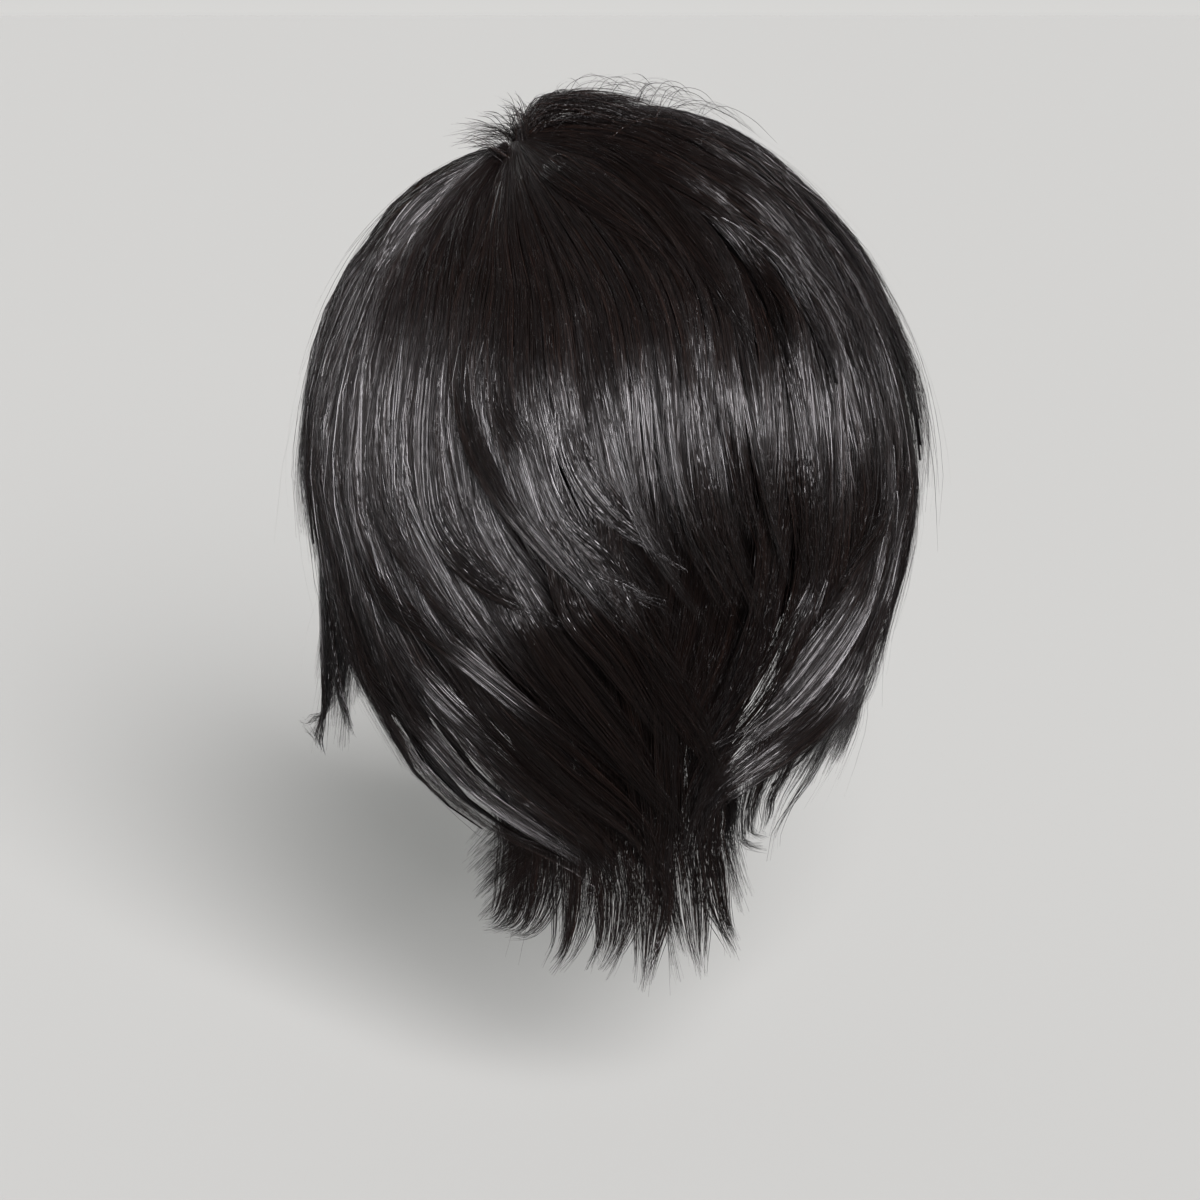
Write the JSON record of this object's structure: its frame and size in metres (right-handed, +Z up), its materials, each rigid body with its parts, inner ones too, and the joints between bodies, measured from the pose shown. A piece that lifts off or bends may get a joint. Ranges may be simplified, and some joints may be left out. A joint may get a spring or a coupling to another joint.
{
  "type": "bob wig",
  "caption": "Short layered bob wig on a thin cap, with an off-centre parting, a swept fringe, full sides and a tapered nape.",
  "frame": {"origin": "inside of the cap where the crown of the head touches it", "axes": "+Z up out of the crown, -Y the way the face looks, +X the wearer's left"},
  "size_m": [0.211, 0.2412, 0.2824],
  "materials": {
    "hair": "glossy near-black brown hair fibre",
    "cap_net": "matt black elastic net"
  },
  "bodies": {
    "root": {"cap": "cap_net", "nape_hair": "hair", "back_hair_right": "hair", "back_hair_left": "hair", "back_hair_upper": "hair", "top_sweep": "hair", "crown_left": "hair", "fringe_right": "hair", "side_hair_left": "hair", "side_hair_right": "hair"}
  },
  "joints": []
}
